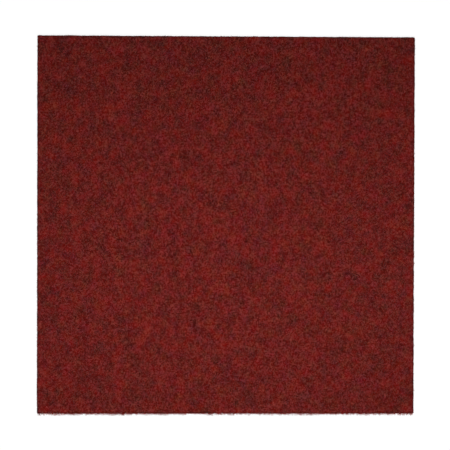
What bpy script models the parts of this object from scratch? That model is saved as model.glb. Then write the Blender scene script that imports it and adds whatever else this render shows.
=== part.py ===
# A square needle-felt carpet tile, lying face up on the floor.
# Metres, +Z up. The origin is the centre of the underside, and +Y is the way the felt ran when it was made.
# The tile is one sheet, punched out square: a flat underside, straight cut edges,
# and a rim where the needled fibres of the face relax and round over.

import bmesh
import bpy

# Overall size, cut edge to cut edge
TILE_WIDTH = 0.500
TILE_LENGTH = 0.500
TILE_THICKNESS = 0.006

# The face rounds over by this radius all along the cut edges
RIM_RADIUS = 0.0010
RIM_STEPS = 4

# The punched corners, as they show on the flat of the face
FACE_CORNER_RADIUS = 0.0005
CORNER_STEPS = 4

# Where the rim ends on the cut edge, the corner is wider by the rim's own radius
EDGE_CORNER_RADIUS = FACE_CORNER_RADIUS + RIM_RADIUS

# A height that tells the face's rim from the underside's
MIDDLE_HEIGHT = TILE_THICKNESS / 2

FELT_RED = (0.122, 0.0137, 0.0116, 1.0)
FELT_ROUGHNESS = 0.95


def clear_scene():
    for old in list(bpy.data.objects):
        bpy.data.objects.remove(old)


def felt_material():
    material = bpy.data.materials.new("needle_felt")
    material.use_nodes = True
    shader = material.node_tree.nodes["Principled BSDF"]
    shader.inputs["Base Color"].default_value = FELT_RED
    shader.inputs["Roughness"].default_value = FELT_ROUGHNESS
    shader.inputs["Metallic"].default_value = 0.0
    return material


def add_sheet(tile):
    """A plain block, from the underside at height 0 to the face."""
    bmesh.ops.create_cube(tile, size=1.0)
    bmesh.ops.scale(tile, vec=(TILE_WIDTH, TILE_LENGTH, TILE_THICKNESS), verts=tile.verts)
    bmesh.ops.translate(tile, vec=(0.0, 0.0, MIDDLE_HEIGHT), verts=tile.verts)


def is_upright(edge):
    """True for the four edges that stand at the block's corners."""
    below, above = sorted(end.co.z for end in edge.verts)
    return below < MIDDLE_HEIGHT < above


def is_face_rim(edge):
    """True for the edges between the face and the cut sides."""
    at_the_top = all(end.co.z > MIDDLE_HEIGHT for end in edge.verts)
    return at_the_top and len({round(abs(side.normal.z)) for side in edge.link_faces}) == 2


def round_edges(tile, chosen, radius, steps):
    bmesh.ops.bevel(
        tile,
        geom=[edge for edge in tile.edges if chosen(edge)],
        offset=radius,
        offset_type="OFFSET",
        segments=steps,
        profile=0.5,
        affect="EDGES",
        clamp_overlap=True,
    )
    tile.normal_update()


def make_carpet_tile():
    tile = bmesh.new()
    add_sheet(tile)
    tile.normal_update()
    round_edges(tile, is_upright, EDGE_CORNER_RADIUS, CORNER_STEPS)
    round_edges(tile, is_face_rim, RIM_RADIUS, RIM_STEPS)
    mesh = bpy.data.meshes.new("carpet_tile")
    tile.to_mesh(mesh)
    tile.free()
    mesh.materials.append(felt_material())
    carpet_tile = bpy.data.objects.new("carpet_tile", mesh)
    bpy.context.scene.collection.objects.link(carpet_tile)
    return carpet_tile


clear_scene()
make_carpet_tile()
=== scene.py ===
# A needle-felt carpet tile on a white floor: red and black fibres needled into one flat square.
# Metres, +Z up. +Y is the top of the picture and +X its right.

import math

import bpy
import numpy as np
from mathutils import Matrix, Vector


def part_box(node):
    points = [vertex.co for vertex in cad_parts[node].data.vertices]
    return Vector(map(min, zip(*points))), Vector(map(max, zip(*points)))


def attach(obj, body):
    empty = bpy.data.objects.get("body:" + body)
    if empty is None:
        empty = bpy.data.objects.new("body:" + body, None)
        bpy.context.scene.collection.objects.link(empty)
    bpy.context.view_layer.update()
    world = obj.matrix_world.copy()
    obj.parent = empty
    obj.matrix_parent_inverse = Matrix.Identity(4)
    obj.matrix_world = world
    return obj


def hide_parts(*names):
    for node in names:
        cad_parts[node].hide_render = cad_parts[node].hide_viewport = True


tiny = 1e-9  # the least length that a direction is divided by
middle = 0.5  # of a lot drawn between 0 and 1
white = (1.0, 1.0, 1.0, 1.0)

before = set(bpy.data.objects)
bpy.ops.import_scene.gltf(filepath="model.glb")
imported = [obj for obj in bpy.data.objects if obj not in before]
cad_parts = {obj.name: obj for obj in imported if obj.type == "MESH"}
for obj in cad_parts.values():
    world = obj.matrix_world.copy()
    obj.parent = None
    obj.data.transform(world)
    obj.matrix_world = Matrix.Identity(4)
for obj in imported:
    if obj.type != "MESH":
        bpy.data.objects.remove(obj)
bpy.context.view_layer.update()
tileLow, tileHigh = (np.array(corner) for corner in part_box("carpet_tile"))
halfSide = float(tileHigh[0] - tileLow[0]) / 2
tileTop = float(tileHigh[2])
print("frame loaded, tile", (tileHigh - tileLow).round(4))


# Shader maths

class Signal:  # a node's output socket that takes part in sums
    def __init__(self, tree, socket):
        self.tree = tree
        self.socket = socket

    def maths(self, operation, first, second=0.0):  # one Math node
        made = addNode(self.tree, "ShaderNodeMath", {"operation": operation}, {0: first, 1: second})
        return made["Value"]

    def __add__(self, other):
        return self.maths("ADD", self, other)

    def __radd__(self, other):
        return self.maths("ADD", other, self)

    def __sub__(self, other):
        return self.maths("SUBTRACT", self, other)

    def __rsub__(self, other):
        return self.maths("SUBTRACT", other, self)

    def __mul__(self, other):
        return self.maths("MULTIPLY", self, other)

    def __rmul__(self, other):
        return self.maths("MULTIPLY", other, self)

    def atLeast(self, other):
        return self.maths("MAXIMUM", self, other)

    def atMost(self, other):
        return self.maths("MINIMUM", self, other)

    def clamp(self):
        return self.atLeast(0.0).atMost(1.0)

    def dot(self, way):  # how far a vector reaches along a direction
        settings = {"operation": "DOT_PRODUCT"}
        return addNode(self.tree, "ShaderNodeVectorMath", settings, {0: self, 1: way})["Value"]


def addNode(tree, kind, settings=None, sockets=None):
    # the settings are set first, then each socket gets its value or its link
    made = tree.nodes.new(kind)
    for name, value in (settings or {}).items():
        setattr(made, name, value)
    for key, value in (sockets or {}).items():
        if isinstance(value, Signal):
            tree.links.new(value.socket, made.inputs[key])
        else:
            made.inputs[key].default_value = value
    return {output.name: Signal(tree, output) for output in made.outputs if output.enabled}


def readAttribute(tree, name, part="Fac"):
    return addNode(tree, "ShaderNodeAttribute", {"attribute_name": name})[part]


def blendColour(tree, share, first, second, way="MIX"):
    # first at share 0 and second at share 1; 6 and 7 are the node's two colour sockets
    settings = {"data_type": "RGBA", "blend_type": way}
    return addNode(tree, "ShaderNodeMix", settings, {0: share, 6: first, 7: second})["Result"]


def joinColour(tree, red, green, blue):
    return addNode(tree, "ShaderNodeCombineColor", None, {0: red, 1: green, 2: blue})["Color"]


def newMaterial(name):  # an empty tree, ready for a surface
    material = bpy.data.materials.new(name)
    material.use_nodes = True
    material.node_tree.nodes.clear()
    return material, material.node_tree


def finishMaterial(tree, surface):  # surface holds the Principled node's sockets
    shader = addNode(tree, "ShaderNodeBsdfPrincipled", None, surface)
    addNode(tree, "ShaderNodeOutputMaterial", None, {"Surface": shader["BSDF"]})


# Meshes

def makeMesh(name, points, corners, sizes, faceUv):
    # points are the vertices, corners the vertex of each face corner, sizes the corners of each
    # face, and faceUv the place of each face corner on the bake map
    mesh = bpy.data.meshes.new(name)
    mesh.vertices.add(len(points))
    mesh.vertices.foreach_set("co", points.astype(np.float32).ravel())
    mesh.loops.add(len(corners))
    mesh.loops.foreach_set("vertex_index", corners.astype(np.int32))
    mesh.polygons.add(len(sizes))
    starts = np.concatenate(([0], np.cumsum(sizes)[:-1]))
    mesh.polygons.foreach_set("loop_start", starts.astype(np.int32))
    mesh.update(calc_edges=True)
    uvMap = mesh.uv_layers.new(name="OFBake")
    uvMap.data.foreach_set("uv", faceUv.astype(np.float32).ravel())
    mesh.shade_smooth()
    piece = bpy.data.objects.new(name, mesh)
    bpy.context.scene.collection.objects.link(piece)
    return piece


# Mottling: the fields that the colour, the unevenness and the cut edges are read from

mottling = {
    "seed": 2117,
    "cells": 520,  # each way, and they repeat beyond that
    "cell": 0.001,
    "stretch": 1.10,  # longer along Y, the way the felt ran
    "redLayers": ((0.0028, 1.0), (0.0010, 0.15)),  # the reach and the weight of each layer
    "lumpLayers": ((0.0022, 1.0), (0.0060, 0.5)),
    "hueLayers": ((0.0026, 1.0),),
    "cutLayers": ((0.0009, 1.0), (0.0040, 0.5)),
    "flecks": 0.08,  # how far red flecks stand out more than dark ones
}


def noiseField(values, layers, seed):
    # white noise blurred by a Gaussian of each reach, every layer brought to unit spread,
    # weighted and summed, and the sum brought to unit spread again
    rng = np.random.default_rng(seed)
    wave = np.fft.fftfreq(values["cells"], values["cell"])
    waveX, waveY = np.meshgrid(wave, wave, indexing="ij")
    squared = waveX ** 2 + (waveY * values["stretch"]) ** 2
    total = np.zeros((values["cells"], values["cells"]))
    for reach, weight in layers:
        noise = rng.standard_normal(total.shape)
        passed = np.exp(-2 * (math.pi * reach) ** 2 * squared)
        layer = np.fft.ifft2(np.fft.fft2(noise) * passed).real
        total += weight * layer / layer.std()
    return total / total.std()


def readField(field, values, x, y):  # the four cells around each point, weighted by nearness
    across = x / values["cell"] + values["cells"] / 2
    along = y / values["cell"] + values["cells"] / 2
    i, j = np.floor(across).astype(int), np.floor(along).astype(int)
    s, t = across - i, along - j
    size = values["cells"]
    low, high, left, right = j % size, (j + 1) % size, i % size, (i + 1) % size
    near = field[left, low] * (1 - s) + field[right, low] * s
    far = field[left, high] * (1 - s) + field[right, high] * s
    return near * (1 - t) + far * t


evenField = noiseField(mottling, mottling["redLayers"], mottling["seed"])
redField = evenField + mottling["flecks"] * (evenField ** 2 - 1)
lumpField = noiseField(mottling, mottling["lumpLayers"], mottling["seed"] + 1)
hueField = noiseField(mottling, mottling["hueLayers"], mottling["seed"] + 2)
cutField = noiseField(mottling, mottling["cutLayers"], mottling["seed"] + 3)
print("mottling worked out")


# The felt: a grid over the face, carried on by rings over the rim and down the cut edges

felt = {
    "lines": 288,  # grid lines each way on the face
    "edgeLines": 7,  # of them, this many stand close together along each edge
    "edgeReach": 0.0025,  # over this width
    "cornerRadius": 0.0003,
    "rimRadius": 0.0010,
    "rimSteps": 4,
    "wallSteps": 3,
    "footChamfer": 0.0002,
    "lump": 0.00011,  # the spread of the face's unevenness
    "sink": 1.0,  # how many such spreads the face lies under the tile's full height
    "cutLump": 0.5,  # the share of the unevenness that is left where the rim meets the wall
    "ragged": 0.00012,  # how far the cut edges wander in and out
    "sharpAngle": 40.0,  # degrees, from which an edge between faces shows as a hard one
    "faceShare": 0.89,  # of the bake map's width, for the face with the edges folded out
    "backShare": 0.10,  # and for the underside
}


def gridLines(values, half):  # even in the middle, ever closer over the last stretch to each edge
    close = half - values["edgeReach"] * np.linspace(0, 1, values["edgeLines"]) ** 2
    middleLines = values["lines"] - 2 * values["edgeLines"] + 2
    even = np.linspace(-close[-1], close[-1], middleLines)
    return np.concatenate((-close, even[1:-1], close[::-1]))


def roundedPlace(x, y, half, radius):
    # core + way: the core is the point clipped to the square inside the corner arcs, and the rest
    # of the way turns square rings into round ones, so that a corner of the grid lies on an arc
    inner = half - radius
    core = np.stack((np.clip(x, -inner, inner), np.clip(y, -inner, inner)), -1)
    rest = np.stack((x, y), -1) - core
    square = np.abs(rest).max(-1, keepdims=True)
    length = np.linalg.norm(rest, axis=-1, keepdims=True)
    way = rest / np.maximum(length, tiny)
    return core, way, square


def feltProfile(values):
    # the section from the face's edge down to the foot: a quarter round of the rim's radius, a
    # straight wall and a small chamfer, as (outward, height, share of the unevenness), with its
    # running length
    turn = np.linspace(0, math.pi / 2, values["rimSteps"] + 1)[1:]
    radius, foot = values["rimRadius"], values["footChamfer"]
    rimShare = 1 - (1 - values["cutLump"]) * turn / turn[-1]
    rim = np.stack((radius * np.sin(turn), tileTop - radius * (1 - np.cos(turn)), rimShare), -1)
    drop = np.linspace(tileTop - radius, foot, values["wallSteps"] + 1)[1:]
    wall = np.stack((np.full_like(drop, radius), drop, values["cutLump"] * drop / tileTop), -1)
    base = np.array([[radius - foot, 0, 0]])
    section = np.concatenate((rim, wall, base))
    steps = np.diff(np.concatenate(([[0, tileTop, 1]], section)), axis=0)
    return section, np.cumsum(np.hypot(steps[:, 0], steps[:, 1]))


def feltHeight(x, y):  # of the face, less the quarter round where the rim falls away
    lump = readField(lumpField, mottling, x, y)
    radius = felt["rimRadius"]
    edge = np.clip(np.maximum(np.abs(x), np.abs(y)) - (halfSide - radius), 0, radius)
    face = tileTop + felt["lump"] * (lump - felt["sink"])
    return face - radius + np.sqrt(radius ** 2 - edge ** 2)


def edgeRings(values, edgeCore, edgeWay, section, running):
    # each ring stands at the section's outward and height, moved by lump x share x (unevenness -
    # sink), upwards on the face's edge and outwards on the wall, and by ragged x the cut field
    radius = values["cornerRadius"]
    cut = edgeCore + edgeWay * radius
    wave = values["ragged"] * readField(cutField, mottling, cut[:, 0], cut[:, 1])
    rings, folded = [], []
    for (outward, height, share), length in zip(section, running):
        place = edgeCore + edgeWay * (radius + length)  # where this ring would lie, folded out flat
        bump = readField(lumpField, mottling, place[:, 0], place[:, 1]) - values["sink"]
        push = values["lump"] * share * bump
        overRim = outward / values["rimRadius"]  # 0 on the face's edge and 1 on the wall
        tilt = overRim if height > 0 else 0
        ring = edgeCore + edgeWay * (radius + outward + push * tilt + wave * overRim)[:, None]
        rise = height + (push * (1 - tilt) if height > 0 else 0)
        rings.append(np.column_stack((ring, np.broadcast_to(rise, len(edgeCore)))))
        folded.append(place)
    return rings, folded


def feltFaces(index, edge, ringCount):
    # the grid, a band between each pair of rings, and a fan to the middle of the underside
    a, b, c, d = index[:-1, :-1], index[1:, :-1], index[1:, 1:], index[:-1, 1:]
    quads = [np.stack((a, b, c, d), -1).reshape(-1, 4)]
    upper = edge
    for number in range(ringCount):
        lower = index.size + number * len(edge) + np.arange(len(edge))
        quads.append(np.stack((np.roll(upper, -1), upper, lower, np.roll(lower, -1)), -1))
        upper = lower
    hub = index.size + ringCount * len(edge)
    fan = np.stack((np.roll(upper, -1), upper, np.full(len(edge), hub)), -1)
    return np.concatenate(quads), fan


def addFields(mesh, flat, inward):
    # what the finish reads at each point: the mottling's redness and hue, how far inside the
    # face's edge it lies, and its place folded out flat
    fields = {
        "redness": readField(redField, mottling, flat[:, 0], flat[:, 1]),
        "hue": readField(hueField, mottling, flat[:, 0], flat[:, 1]),
        "inward": inward,
    }
    for name, drawn in fields.items():
        made = mesh.attributes.new(name, "FLOAT", "POINT")
        made.data.foreach_set("value", drawn.astype(np.float32))
    place = np.column_stack((flat, np.zeros(len(flat)))).astype(np.float32)
    made = mesh.attributes.new("unrolled", "FLOAT_VECTOR", "POINT")
    made.data.foreach_set("vector", place.ravel())


def makeFelt(values):
    # a point of the face stands at the tile's height + lump x (unevenness - sink), and the rings
    # carry the face's edge on
    count = values["lines"]
    flatHalf = halfSide - values["rimRadius"]
    lines = gridLines(values, flatHalf)
    x, y = np.meshgrid(lines, lines, indexing="ij")
    core, way, square = roundedPlace(x, y, flatHalf, values["cornerRadius"])
    spread = core + way * square  # the face, seen from above
    lump = readField(lumpField, mottling, spread[..., 0], spread[..., 1])[..., None]
    face = np.concatenate((spread, tileTop + values["lump"] * (lump - values["sink"])), -1)

    # once round the face's edge, anticlockwise
    index = np.arange(count * count).reshape(count, count)
    edge = np.concatenate((index[:-1, 0], index[-1, :-1], index[:0:-1, -1], index[0, :0:-1]))
    edgeCore, edgeWay = core.reshape(-1, 2)[edge], way.reshape(-1, 2)[edge]
    section, running = feltProfile(values)
    rings, folded = edgeRings(values, edgeCore, edgeWay, section, running)
    points = np.concatenate([face.reshape(-1, 3)] + rings + [np.zeros((1, 3))])
    quads, fan = feltFaces(index, edge, len(rings))
    corners = np.concatenate((quads.ravel(), fan.ravel()))
    sizes = np.concatenate((np.full(len(quads), 4), np.full(len(fan), 3)))

    # the bake map: the face and the edges folded out flat in one square, the underside in another
    flat = np.concatenate([spread.reshape(-1, 2)] + folded + [np.zeros((1, 2))])
    foldedHalf = flatHalf + running[-1]
    faceMap = values["faceShare"] * (flat / (2 * foldedHalf) + 0.5)
    backStart = 1 - values["backShare"]
    backMap = values["backShare"] * (points[:, :2] / (2 * halfSide) + 0.5) + backStart
    uv = np.concatenate((faceMap[quads].reshape(-1, 2), backMap[fan].reshape(-1, 2)))
    piece = makeMesh("needle_felt_tile", points, corners, sizes, uv)

    mesh = piece.data
    mesh.set_sharp_from_angle(angle=math.radians(values["sharpAngle"]))
    faceInward = flatHalf - np.abs(spread).max(-1).ravel()
    ringInward = np.repeat(-running, len(edge))
    hubInward = [-1.0]  # any value, because the underside's finish doesn't read it
    addFields(mesh, flat, np.concatenate((faceInward, ringInward, hubInward)))
    mesh.materials.append(feltMaterial(feltFinish))
    mesh.materials.append(backMaterial(backFinish))
    isBack = np.concatenate((np.zeros(len(quads), np.int32), np.ones(len(fan), np.int32)))
    mesh.polygons.foreach_set("material_index", isBack)
    return piece


# Finishes

feltFinish = {
    "dark": (0.014, 0.0042, 0.0034, 1.0),
    "red": (0.209, 0.0043, 0.0022, 1.0),
    "dustAndGlint": (0.132, 0.0386, 0.0340, 1.0),  # what the lightest fibres have over the darkest: dust and painted highlight
    "level": 0.56,  # the share of red fibres
    "mottle": 0.128,  # how far the mottling moves that share
    "clearCut": 0.85,  # how plainly a fibre is either red or dark
    "hueTurn": 0.063,  # how far the hue wanders from brick to crimson
    "lightShare": 0.38,  # of the bundles
    "bundleGlint": 1.8,  # how plainly a bundle of fibres is light or dark
    "fibreGlint": 1.0,  # and each fibre in it
    "glintCurve": 1.5,  # above 1, few are bright and many a little light
    "turns": (0.2, 0.75, 1.25, 1.7, 2.2, 2.75),  # the way each layer of bundles runs, in radians
    "bundleWide": 0.0013,
    "bundleLong": 0.0026,
    "fibreWide": 0.00012,
    "fibreLong": 0.0060,
    "fibreShare": 0.55,  # of a bundle's height, how far its fibres stand above each other
    "driftScale": 170.0,  # of the slow noise that bends the fibres
    "driftDetail": 1.0,
    "drift": 0.0030,
    "crown": 0.55,  # how far a bundle or a fibre falls away from its middle
    "hollowShade": 0.20,  # painted shade: how much darker the lowest fibres are
    "rise": 0.00030,
    # painted shade along the punched rim, partly for its pressed fibres
    "rimReach": 0.0016,
    "rimShade": 0.28,
    "bandPlace": 0.0042,  # a slightly redder band just inside the rim
    "bandReach": 0.0026,
    "bandRed": 0.08,
    "roughness": 0.92,
    "gloss": 0.05,
    "sheen": 0.06,
    "sheenRoughness": 0.5,
    "sheenTint": (1.0, 0.45, 0.40, 1.0),
}


def longCells(tree, along, across, long, wide):
    # Voronoi cells one length long and one width wide: the distance from a cell's middle, and the
    # cell's three lots between 0 and 1
    stretched = {0: along * (1 / long), 1: across * (1 / wide)}
    flat = addNode(tree, "ShaderNodeCombineXYZ", None, stretched)["Vector"]
    cell = addNode(tree, "ShaderNodeTexVoronoi", {"voronoi_dimensions": "2D"},
                   {"Vector": flat, "Scale": 1.0})
    lots = addNode(tree, "ShaderNodeSeparateColor", None, {"Color": cell["Color"]})
    return cell["Distance"], lots


def fibreMat(tree, place, values):
    # the place is bent by slow noise and measured along and across each layer's way; a bundle
    # stands as high as its own lot less crown x the distance from its middle, its fibres likewise
    # on top of it, and the highest layer shows
    drift = addNode(tree, "ShaderNodeTexNoise", {"noise_dimensions": "2D"}, {
        "Vector": place, "Scale": values["driftScale"], "Detail": values["driftDetail"]})["Color"]
    bent = addNode(tree, "ShaderNodeVectorMath", {"operation": "MULTIPLY_ADD"},
                   {0: drift, 1: (values["drift"],) * 3, 2: place})["Vector"]
    height, tone, light, own = None, None, None, None
    for turn in values["turns"]:
        along = bent.dot((math.cos(turn), math.sin(turn), 0.0)) + turn  # each layer its own cells
        across = bent.dot((-math.sin(turn), math.cos(turn), 0.0))
        gap, bundle = longCells(tree, along, across, values["bundleLong"], values["bundleWide"])
        thinGap, fibre = longCells(tree, along, across, values["fibreLong"], values["fibreWide"])
        thin = fibre["Red"] - thinGap * values["crown"]
        rise = bundle["Red"] - gap * values["crown"] + thin * values["fibreShare"]
        if height is None:
            height, tone, light, own = rise, fibre["Green"], bundle["Blue"], fibre["Blue"]
        else:
            onTop = rise.maths("GREATER_THAN", rise, height)
            tone = tone + (fibre["Green"] - tone) * onTop
            light = light + (bundle["Blue"] - light) * onTop
            own = own + (fibre["Blue"] - own) * onTop
            height = height.atLeast(rise)
    return height, tone, light, own


def feltMaterial(values):
    # a fibre is red where its lot is under level + mottle x redness; light bundles and fibres add
    # glint, partly painted highlight and partly a paler, dustier colour; low ones get painted
    # shade; the punched rim is darker, partly pressed fibres and partly painted shade; and the hue
    # wanders between brick and crimson
    material, tree = newMaterial("needle_felt")
    place = readAttribute(tree, "unrolled", "Vector")
    redness = readAttribute(tree, "redness")
    hue = readAttribute(tree, "hue") * values["hueTurn"]
    inward = readAttribute(tree, "inward")
    height, tone, light, own = fibreMat(tree, place, values)
    fromBand = inward - values["bandPlace"]
    band = (1 - fromBand.maths("ABSOLUTE", fromBand) * (1 / values["bandReach"])).clamp()
    share = redness * values["mottle"] + band * values["bandRed"] + values["level"]
    mix = ((share - tone) * values["clearCut"] + middle).clamp()
    colour = blendColour(tree, mix, values["dark"], values["red"])
    # painted highlight: light bundles and fibres get this colour added, which also holds their
    # paler, dustier colour
    lightness = (light - (1 - values["lightShare"])) * values["bundleGlint"]
    evenGlint = (lightness + (own - middle) * values["fibreGlint"] + middle).clamp()
    dustAndGlint = evenGlint.maths("POWER", evenGlint, values["glintCurve"])
    colour = blendColour(tree, dustAndGlint, colour, values["dustAndGlint"], "ADD")
    # painted shade along the punched rim, partly its pressed, darker fibres
    rim = (1 - inward.maths("ABSOLUTE", inward) * (1 / values["rimReach"])).clamp()
    # painted shade over the lowest fibres, in the gaps between bundles, and along the rim; the hue
    # multiplies in with it
    shade = (1 - rim * values["rimShade"]) * (1 - (1 - height).clamp() * values["hollowShade"])
    shadeAndHue = joinColour(tree, shade, shade * (1 - hue), shade * (1 + hue))
    colour = blendColour(tree, 1.0, colour, shadeAndHue, "MULTIPLY")
    bump = addNode(tree, "ShaderNodeBump", None,
                   {"Strength": 1.0, "Distance": values["rise"], "Height": height})["Normal"]
    finishMaterial(tree, {
        "Base Color": colour,
        "Roughness": values["roughness"],
        "Normal": bump,
        "Specular IOR Level": values["gloss"],
        "Sheen Weight": values["sheen"],
        "Sheen Roughness": values["sheenRoughness"],
        "Sheen Tint": values["sheenTint"],
    })
    return material


backFinish = {
    "colour": (0.020, 0.019, 0.019, 1.0),
    "worn": (0.034, 0.032, 0.031, 1.0),
    "patchScale": 60.0,
    "patchDetail": 3.0,
    "grainScale": 900.0,
    "grainDetail": 2.0,
    "bumpHeight": 0.0002,
    "bumpStrength": 0.6,
    "roughness": 0.85,
}


def backMaterial(values):
    # a plain dark underside: two near greys in soft patches, and the bump of a fine grain
    material, tree = newMaterial("underside")
    place = addNode(tree, "ShaderNodeTexCoord")["Object"]
    patch = addNode(tree, "ShaderNodeTexNoise", None, {
        "Vector": place, "Scale": values["patchScale"], "Detail": values["patchDetail"]})["Fac"]
    grain = addNode(tree, "ShaderNodeTexNoise", None, {
        "Vector": place, "Scale": values["grainScale"], "Detail": values["grainDetail"]})["Fac"]
    strength, distance = values["bumpStrength"], values["bumpHeight"]
    bump = addNode(tree, "ShaderNodeBump", None,
                   {"Strength": strength, "Distance": distance, "Height": grain})["Normal"]
    finishMaterial(tree, {
        "Base Color": blendColour(tree, patch, values["colour"], values["worn"]),
        "Roughness": values["roughness"],
        "Normal": bump,
    })
    return material


# Loose fibres: three-sided spindles along a bent path, pointed at both ends

fibreFinish = {
    "black": (0.008, 0.0045, 0.0040, 1.0),
    "red": (0.190, 0.0058, 0.0042, 1.0),
    # dust and painted highlight, added up the bake map
    "dustAndGlint": (0.075, 0.0200, 0.0170, 1.0),
    "roughness": 0.75,
    "gloss": 0.05,
    "sheen": 0.06,
    "sheenRoughness": 0.5,
    "sheenTint": (1.0, 0.45, 0.40, 1.0),
}

# redder, painted light: as if light came through the fibres that stand out over the white floor
fluffFinish = {**fibreFinish, "red": (0.56, 0.015, 0.012, 1.0)}


def fibreMaterial(name, values):
    # the bake map is the palette: across it runs black to red, and up it plain to light and dusty
    # with a painted highlight
    material, tree = newMaterial(name)
    uv = addNode(tree, "ShaderNodeUVMap", {"uv_map": "OFBake"})["UV"]
    parts = addNode(tree, "ShaderNodeSeparateXYZ", None, {"Vector": uv})
    colour = blendColour(tree, parts["X"], values["black"], values["red"])
    finishMaterial(tree, {
        "Base Color": blendColour(tree, parts["Y"], colour, values["dustAndGlint"], "ADD"),
        "Roughness": values["roughness"],
        "Specular IOR Level": values["gloss"],
        "Sheen Weight": values["sheen"],
        "Sheen Roughness": values["sheenRoughness"],
        "Sheen Tint": values["sheenTint"],
    })
    return material


spindle = {
    "sides": (90.0, 210.0, 330.0),  # degrees round the path, where a ring's three points stand
    "slim": 0.6,  # the greater, the thinner a fibre is next to its tips
    "bodyMap": (0.2, 0.8),  # between the tips, how far along its square of the bake map it runs
    "sideMap": (0.0, 0.5, 1.0),  # how far up that square each side lies
    "tipMap": (0.5, 0.4),  # and each tip
}


def makeSpindles(name, path, thick, palette, material, patch):
    # path is fibres x points x 3: between the tips a ring of three stands square to the path at
    # each point, place + thick / 2 x taper x (side cos turn + up sin turn), where the taper is
    # 1 - (slim x s)^2 and s runs from -1 to 1 over the rings
    count, steps = path.shape[:2]
    along = path[:, 2:] - path[:, :-2]
    along /= np.linalg.norm(along, axis=-1, keepdims=True)
    side = np.stack((-along[..., 1], along[..., 0], np.zeros(along.shape[:2])), -1)
    side /= np.maximum(np.linalg.norm(side, axis=-1, keepdims=True), tiny)
    up = np.cross(along, side)
    turn = np.radians(spindle["sides"])
    taper = 1 - np.linspace(-spindle["slim"], spindle["slim"], steps - 2) ** 2
    radius = thick[:, None] / 2 * taper
    around = side[:, :, None] * np.cos(turn)[:, None] + up[:, :, None] * np.sin(turn)[:, None]
    rings = (path[:, 1:-1, None] + around * radius[..., None, None]).reshape(count, -1, 3)
    points = np.concatenate((path[:, :1], rings, path[:, -1:]), 1)

    # faces: a triangle on each side of each tip, and a band of three quads between two rings
    last = 3 * (steps - 2) + 1
    tips = np.array([[0, 2, 1], [0, 3, 2], [0, 1, 3], [last - 3, last - 2, last],
                     [last - 2, last - 1, last], [last - 1, last - 3, last]])
    ring = 1 + 3 * np.arange(steps - 3)[:, None]
    bands = np.stack((ring + (0, 1, 2), ring + (1, 2, 0), ring + (4, 5, 3), ring + (3, 4, 5)), -1)
    one = np.concatenate((tips.ravel(), bands.ravel()))
    corners = (one[None] + (last + 1) * np.arange(count)[:, None]).ravel()
    sizes = np.tile(np.repeat((3, 4), (len(tips), 3 * len(bands))), count)

    # on the bake map each fibre has a small square: along it across, round it upwards
    firstTip, lastTip = spindle["tipMap"]
    spotU = np.concatenate(([0], np.repeat(np.linspace(*spindle["bodyMap"], steps - 2), 3), [1]))
    spotV = np.concatenate(([firstTip], np.tile(spindle["sideMap"], steps - 2), [lastTip]))
    spot = np.stack((spotU, spotV), -1) * patch
    uv = (palette[:, None] * (1 - patch) + spot).reshape(-1, 2)
    piece = makeMesh(name, points.reshape(-1, 3), corners, sizes, uv[corners])
    piece.data.materials.append(material)
    return piece


# Fibres that lie on the face, more of a colour where the mottling suits it

fibres = {
    "seed": 31,
    "each": 5800,  # fibres in one piece, 24 triangles each
    "drawn": 3,  # places drawn for each fibre that is kept
    "points": 6,  # along one fibre, the two tips among them
    "length": (0.0045, 0.0110),
    "thick": (0.00011, 0.00018),
    "bend": 0.0030,
    "sway": 0.0010,
    "stretch": 1.2,
    "edgeGap": 0.0003,  # how far they stay inside the tile's edges
    "lift": (-0.00004, 0.00022),
    "dive": 0.00018,
    "dustAndGlintShare": (0.45, 0.22),  # how far up the bake map a fibre's square lies, and its spread; up is dust and painted highlight
    "patch": 0.008,  # each fibre's square on the bake map
    "kinds": {  # name: (leaning to red or dark mottles, redness on the bake map, its spread)
        "red_fibres": (0.45, 0.86, 0.10),
        "crimson_fibres": (0.20, 0.66, 0.12),
        "dark_fibres": (-0.30, 0.30, 0.12),
        "black_fibres": (-0.45, 0.08, 0.06),
    },
}


def faceFibres(values, name, lean, redness, spread, rng, material):
    # places are drawn evenly over the face and kept where the mottling suits the fibre's colour;
    # the path is place + heading x s x length / 2 + side x (bend x (1 - s^2) + sway x sin(pi s +
    # phase)), folded back at the tile's edges, its tips below the surface and the rest near it
    wanted = values["each"]
    x, y = rng.uniform(-halfSide, halfSide, (2, values["drawn"] * wanted))
    suits = middle + lean * readField(redField, mottling, x, y)
    kept = np.flatnonzero(rng.random(len(x)) < suits)[:wanted]
    x, y, count = x[kept], y[kept], len(kept)
    angle = rng.uniform(0, 2 * math.pi, count)
    heading = np.stack((np.cos(angle), np.sin(angle) * values["stretch"]), -1)
    heading /= np.linalg.norm(heading, axis=1, keepdims=True)
    side = np.stack((-heading[:, 1], heading[:, 0]), -1)
    length = rng.uniform(*values["length"], count)[:, None]
    bend = rng.uniform(-1, 1, (count, 1)) * values["bend"] * length / values["length"][1]
    sway = rng.uniform(-1, 1, (count, 1)) * values["sway"]
    thick = rng.uniform(*values["thick"], count)
    s = np.linspace(-1, 1, values["points"])
    phase = rng.uniform(0, 2 * math.pi, (count, 1))
    off = bend * (1 - s ** 2) + sway * np.sin(math.pi * s + phase)
    straight = np.stack((x, y), -1)[:, None] + heading[:, None] * (s * length / 2)[..., None]
    flat = straight + side[:, None] * off[..., None]
    over = np.maximum(np.abs(flat) - (halfSide - values["edgeGap"]), 0)
    flat -= 2 * over * np.sign(flat)
    rise = rng.uniform(*values["lift"], (count, values["points"]))
    rise[:, (0, -1)] = -values["dive"]
    path = np.concatenate((flat, (feltHeight(flat[..., 0], flat[..., 1]) + rise)[..., None]), -1)
    across = redness + rng.normal(0, spread, count)
    upward = rng.normal(*values["dustAndGlintShare"], count)
    palette = np.clip(np.stack((across, upward), -1), 0, 1)
    return makeSpindles(name, path, thick, palette, material, values["patch"])


# Fluff: fibre ends that stand out of the cut edges, most and longest along the front

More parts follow.
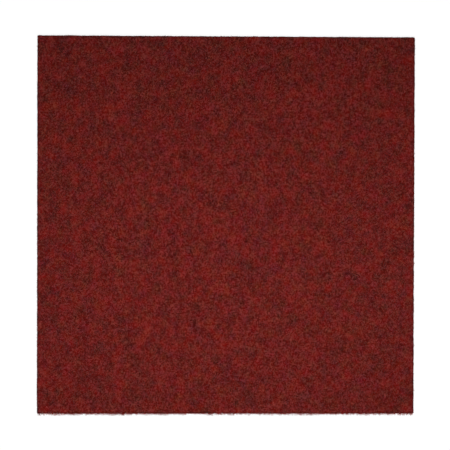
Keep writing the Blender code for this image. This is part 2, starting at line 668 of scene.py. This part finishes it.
fluff = {
    "seed": 77,
    "points": 5,  # along one fibre, 18 triangles
    "pieces": {  # name: (ways its edges face, fibres on each edge, tufts on each, usual reach)
        "front_fluff": (((0, -1),), 10000, 4000, 0.00132),
        "side_fluff": (((0, 1), (-1, 0), (1, 0)), 1400, 420, 0.00036),
    },
    "clump": 0.2,  # how far the unevenness of the felt moves the reach
    "leastClump": 0.2,
    "tuftWide": 0.0004,
    "tuftShape": 8.0,  # the lower, the more the tufts differ in reach
    "fibreShape": 3.5,  # and the fibres in a tuft
    "most": 0.0036,
    "root": 0.0009,
    "turn": (0.8, 1.7),  # above 1 a fibre turns back to the edge
    "thick": (0.00015, 0.00022),
    "wander": 0.0008,
    "jitter": 0.00012,
    "cornerGap": 0.0004,
    "lowest": 0.0010,  # where the lowest fibres are rooted
    "topGap": 0.0002,  # the highest are rooted this far below the face and end as far above it
    "climb": 0.0004,
    "floorGap": 0.0004,
    "redShare": 0.8,
    "reds": (0.74, 0.18),  # on the bake map, the mean redness of the red fibres and its spread
    "darks": (0.20, 0.1),
    # how far up the bake map a fibre's square lies: dust and painted highlight
    "dustAndGlintShare": (0.5, 0.2),
    "patch": 0.008,
}


def edgeFluff(values, name, edges, count, tufts, usual, rng, material):
    # each fibre is rooted inside the edge and ends in the air or turns back: out(t) = -root +
    # (root + reach) x sin(pi/2 x t x turn), while it wanders evenly along the edge; its reach is
    # the usual one x its tuft's lot x its own lot x the felt's unevenness there
    t = np.linspace(0, 1, values["points"])
    limit = halfSide - values["cornerGap"]
    paths = []
    for towardX, towardY in edges:
        tuftSpot = rng.uniform(-1, 1, (tufts, 1)) * (halfSide - values["root"])
        tuftReach = rng.gamma(values["tuftShape"], 1 / values["tuftShape"], (tufts, 1))
        tuft = rng.integers(0, tufts, count)
        spot = tuftSpot[tuft] + rng.normal(0, values["tuftWide"], (count, 1))
        spot = np.clip(spot, -limit, limit)
        uneven = readField(lumpField, mottling, spot, halfSide * (towardX + towardY))
        clump = np.maximum(1 + values["clump"] * uneven, values["leastClump"])
        own = rng.gamma(values["fibreShape"], 1 / values["fibreShape"], (count, 1))
        reach = np.minimum(usual * tuftReach[tuft] * own * clump, values["most"])
        turn = rng.uniform(*values["turn"], (count, 1))
        rooted = halfSide - values["root"]
        out = rooted + (values["root"] + reach) * np.sin(math.pi / 2 * t * turn)
        drift = rng.normal(0, values["wander"], (count, 1)) * t
        drift = drift + rng.normal(0, values["jitter"], out.shape)
        wander = np.clip(spot + drift, -limit, limit)
        height = rng.uniform(values["lowest"], tileTop - values["topGap"], (count, 1))
        rise = height + rng.normal(0, values["climb"], (count, 1)) * t
        rise = np.clip(rise, values["floorGap"], tileTop + values["topGap"])
        if towardX:
            paths.append(np.stack((towardX * out, wander, rise), -1))
        else:
            paths.append(np.stack((wander, towardY * out, rise), -1))
    path = np.concatenate(paths)
    thick = rng.uniform(*values["thick"], len(path))
    isRed = rng.random(len(path)) < values["redShare"]
    reds = rng.normal(*values["reds"], len(path))
    darks = rng.normal(*values["darks"], len(path))
    upward = rng.normal(*values["dustAndGlintShare"], len(path))
    palette = np.clip(np.stack((np.where(isRed, reds, darks), upward), -1), 0, 1)
    return makeSpindles(name, path, thick, palette, material, values["patch"])


tile = makeFelt(felt)
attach(tile, "root")
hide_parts("carpet_tile")
print("felt made,", len(tile.data.polygons), "faces")

fibreFelt = fibreMaterial("felt_fibre", fibreFinish)
fibreRng = np.random.default_rng(fibres["seed"])
for kind, (lean, redness, spread) in fibres["kinds"].items():
    piece = faceFibres(fibres, kind, lean, redness, spread, fibreRng, fibreFelt)
    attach(piece, "root")
    print(kind, "made,", len(piece.data.polygons), "faces")

edgeFelt = fibreMaterial("edge_fibre", fluffFinish)
fluffRng = np.random.default_rng(fluff["seed"])
for kind, (edges, count, tufts, usual) in fluff["pieces"].items():
    piece = edgeFluff(fluff, kind, edges, count, tufts, usual, fluffRng, edgeFelt)
    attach(piece, "root")
    print(kind, "made,", len(piece.data.polygons), "faces")


# Floor, light and camera

studio = {
    "floorHalf": 15.0,
    "floorColour": (0.10, 0.10, 0.10, 1.0),
    "floorGlow": 0.95,  # so that the floor shows white, with a faint shade beside the tile
    "worldFill": 0.30,
    "worldSeen": 1.0,
    "lampPlace": (0.0, -0.20, 0.60),
    "lampTilt": 30.0,  # degrees, towards +Y
    "lampSize": (0.8, 0.2),
    "lampPower": 3.38,
    "lens": 85.0,
    "sensor": 36.0,
    "farthest": 50.0,  # that the camera sees
    "cameraPlace": (-0.02516, 0.00990, 1.41320),
    "cameraTurn": (-0.401, -0.958, 0.153),  # degrees about X, Y, Z
}


def makeFloor(values):
    half = values["floorHalf"]
    corners = [(-half, -half, 0), (half, -half, 0), (half, half, 0), (-half, half, 0)]
    mesh = bpy.data.meshes.new("floor")
    mesh.from_pydata(corners, [], [(0, 1, 2, 3)])
    floor = bpy.data.objects.new("floor", mesh)
    bpy.context.scene.collection.objects.link(floor)
    material, tree = newMaterial("white_floor")
    finishMaterial(tree, {
        "Base Color": values["floorColour"],
        "Roughness": 1.0,
        "Specular IOR Level": 0.0,
        "Emission Color": white,
        "Emission Strength": values["floorGlow"],
    })
    mesh.materials.append(material)


def makeLight(values):  # the world is brighter to the camera than it is to the tile
    world = bpy.data.worlds.new("studio")
    bpy.context.scene.world = world
    world.use_nodes = True
    tree = world.node_tree
    tree.nodes.clear()
    seen = addNode(tree, "ShaderNodeLightPath")["Is Camera Ray"]
    strength = seen * (values["worldSeen"] - values["worldFill"]) + values["worldFill"]
    glow = addNode(tree, "ShaderNodeBackground", None, {"Color": white, "Strength": strength})
    addNode(tree, "ShaderNodeOutputWorld", None, {"Surface": glow["Background"]})
    light = bpy.data.lights.new("softbox", "AREA")
    light.shape = "RECTANGLE"
    light.size, light.size_y = values["lampSize"]
    light.energy = values["lampPower"]
    lamp = bpy.data.objects.new("softbox", light)
    lamp.location = values["lampPlace"]
    lamp.rotation_euler = (math.radians(values["lampTilt"]), 0.0, 0.0)
    lamp.visible_camera = False
    bpy.context.scene.collection.objects.link(lamp)


def makeCamera(values):
    camera = bpy.data.cameras.new("camera")
    camera.lens = values["lens"]
    camera.sensor_width = values["sensor"]
    camera.clip_end = values["farthest"]
    stand = bpy.data.objects.new("camera", camera)
    stand.location = values["cameraPlace"]
    stand.rotation_euler = [math.radians(angle) for angle in values["cameraTurn"]]
    bpy.context.scene.collection.objects.link(stand)
    bpy.context.scene.camera = stand


makeFloor(studio)
makeLight(studio)
makeCamera(studio)
bpy.context.scene.view_settings.view_transform = "Standard"
print("floor, light and camera placed")
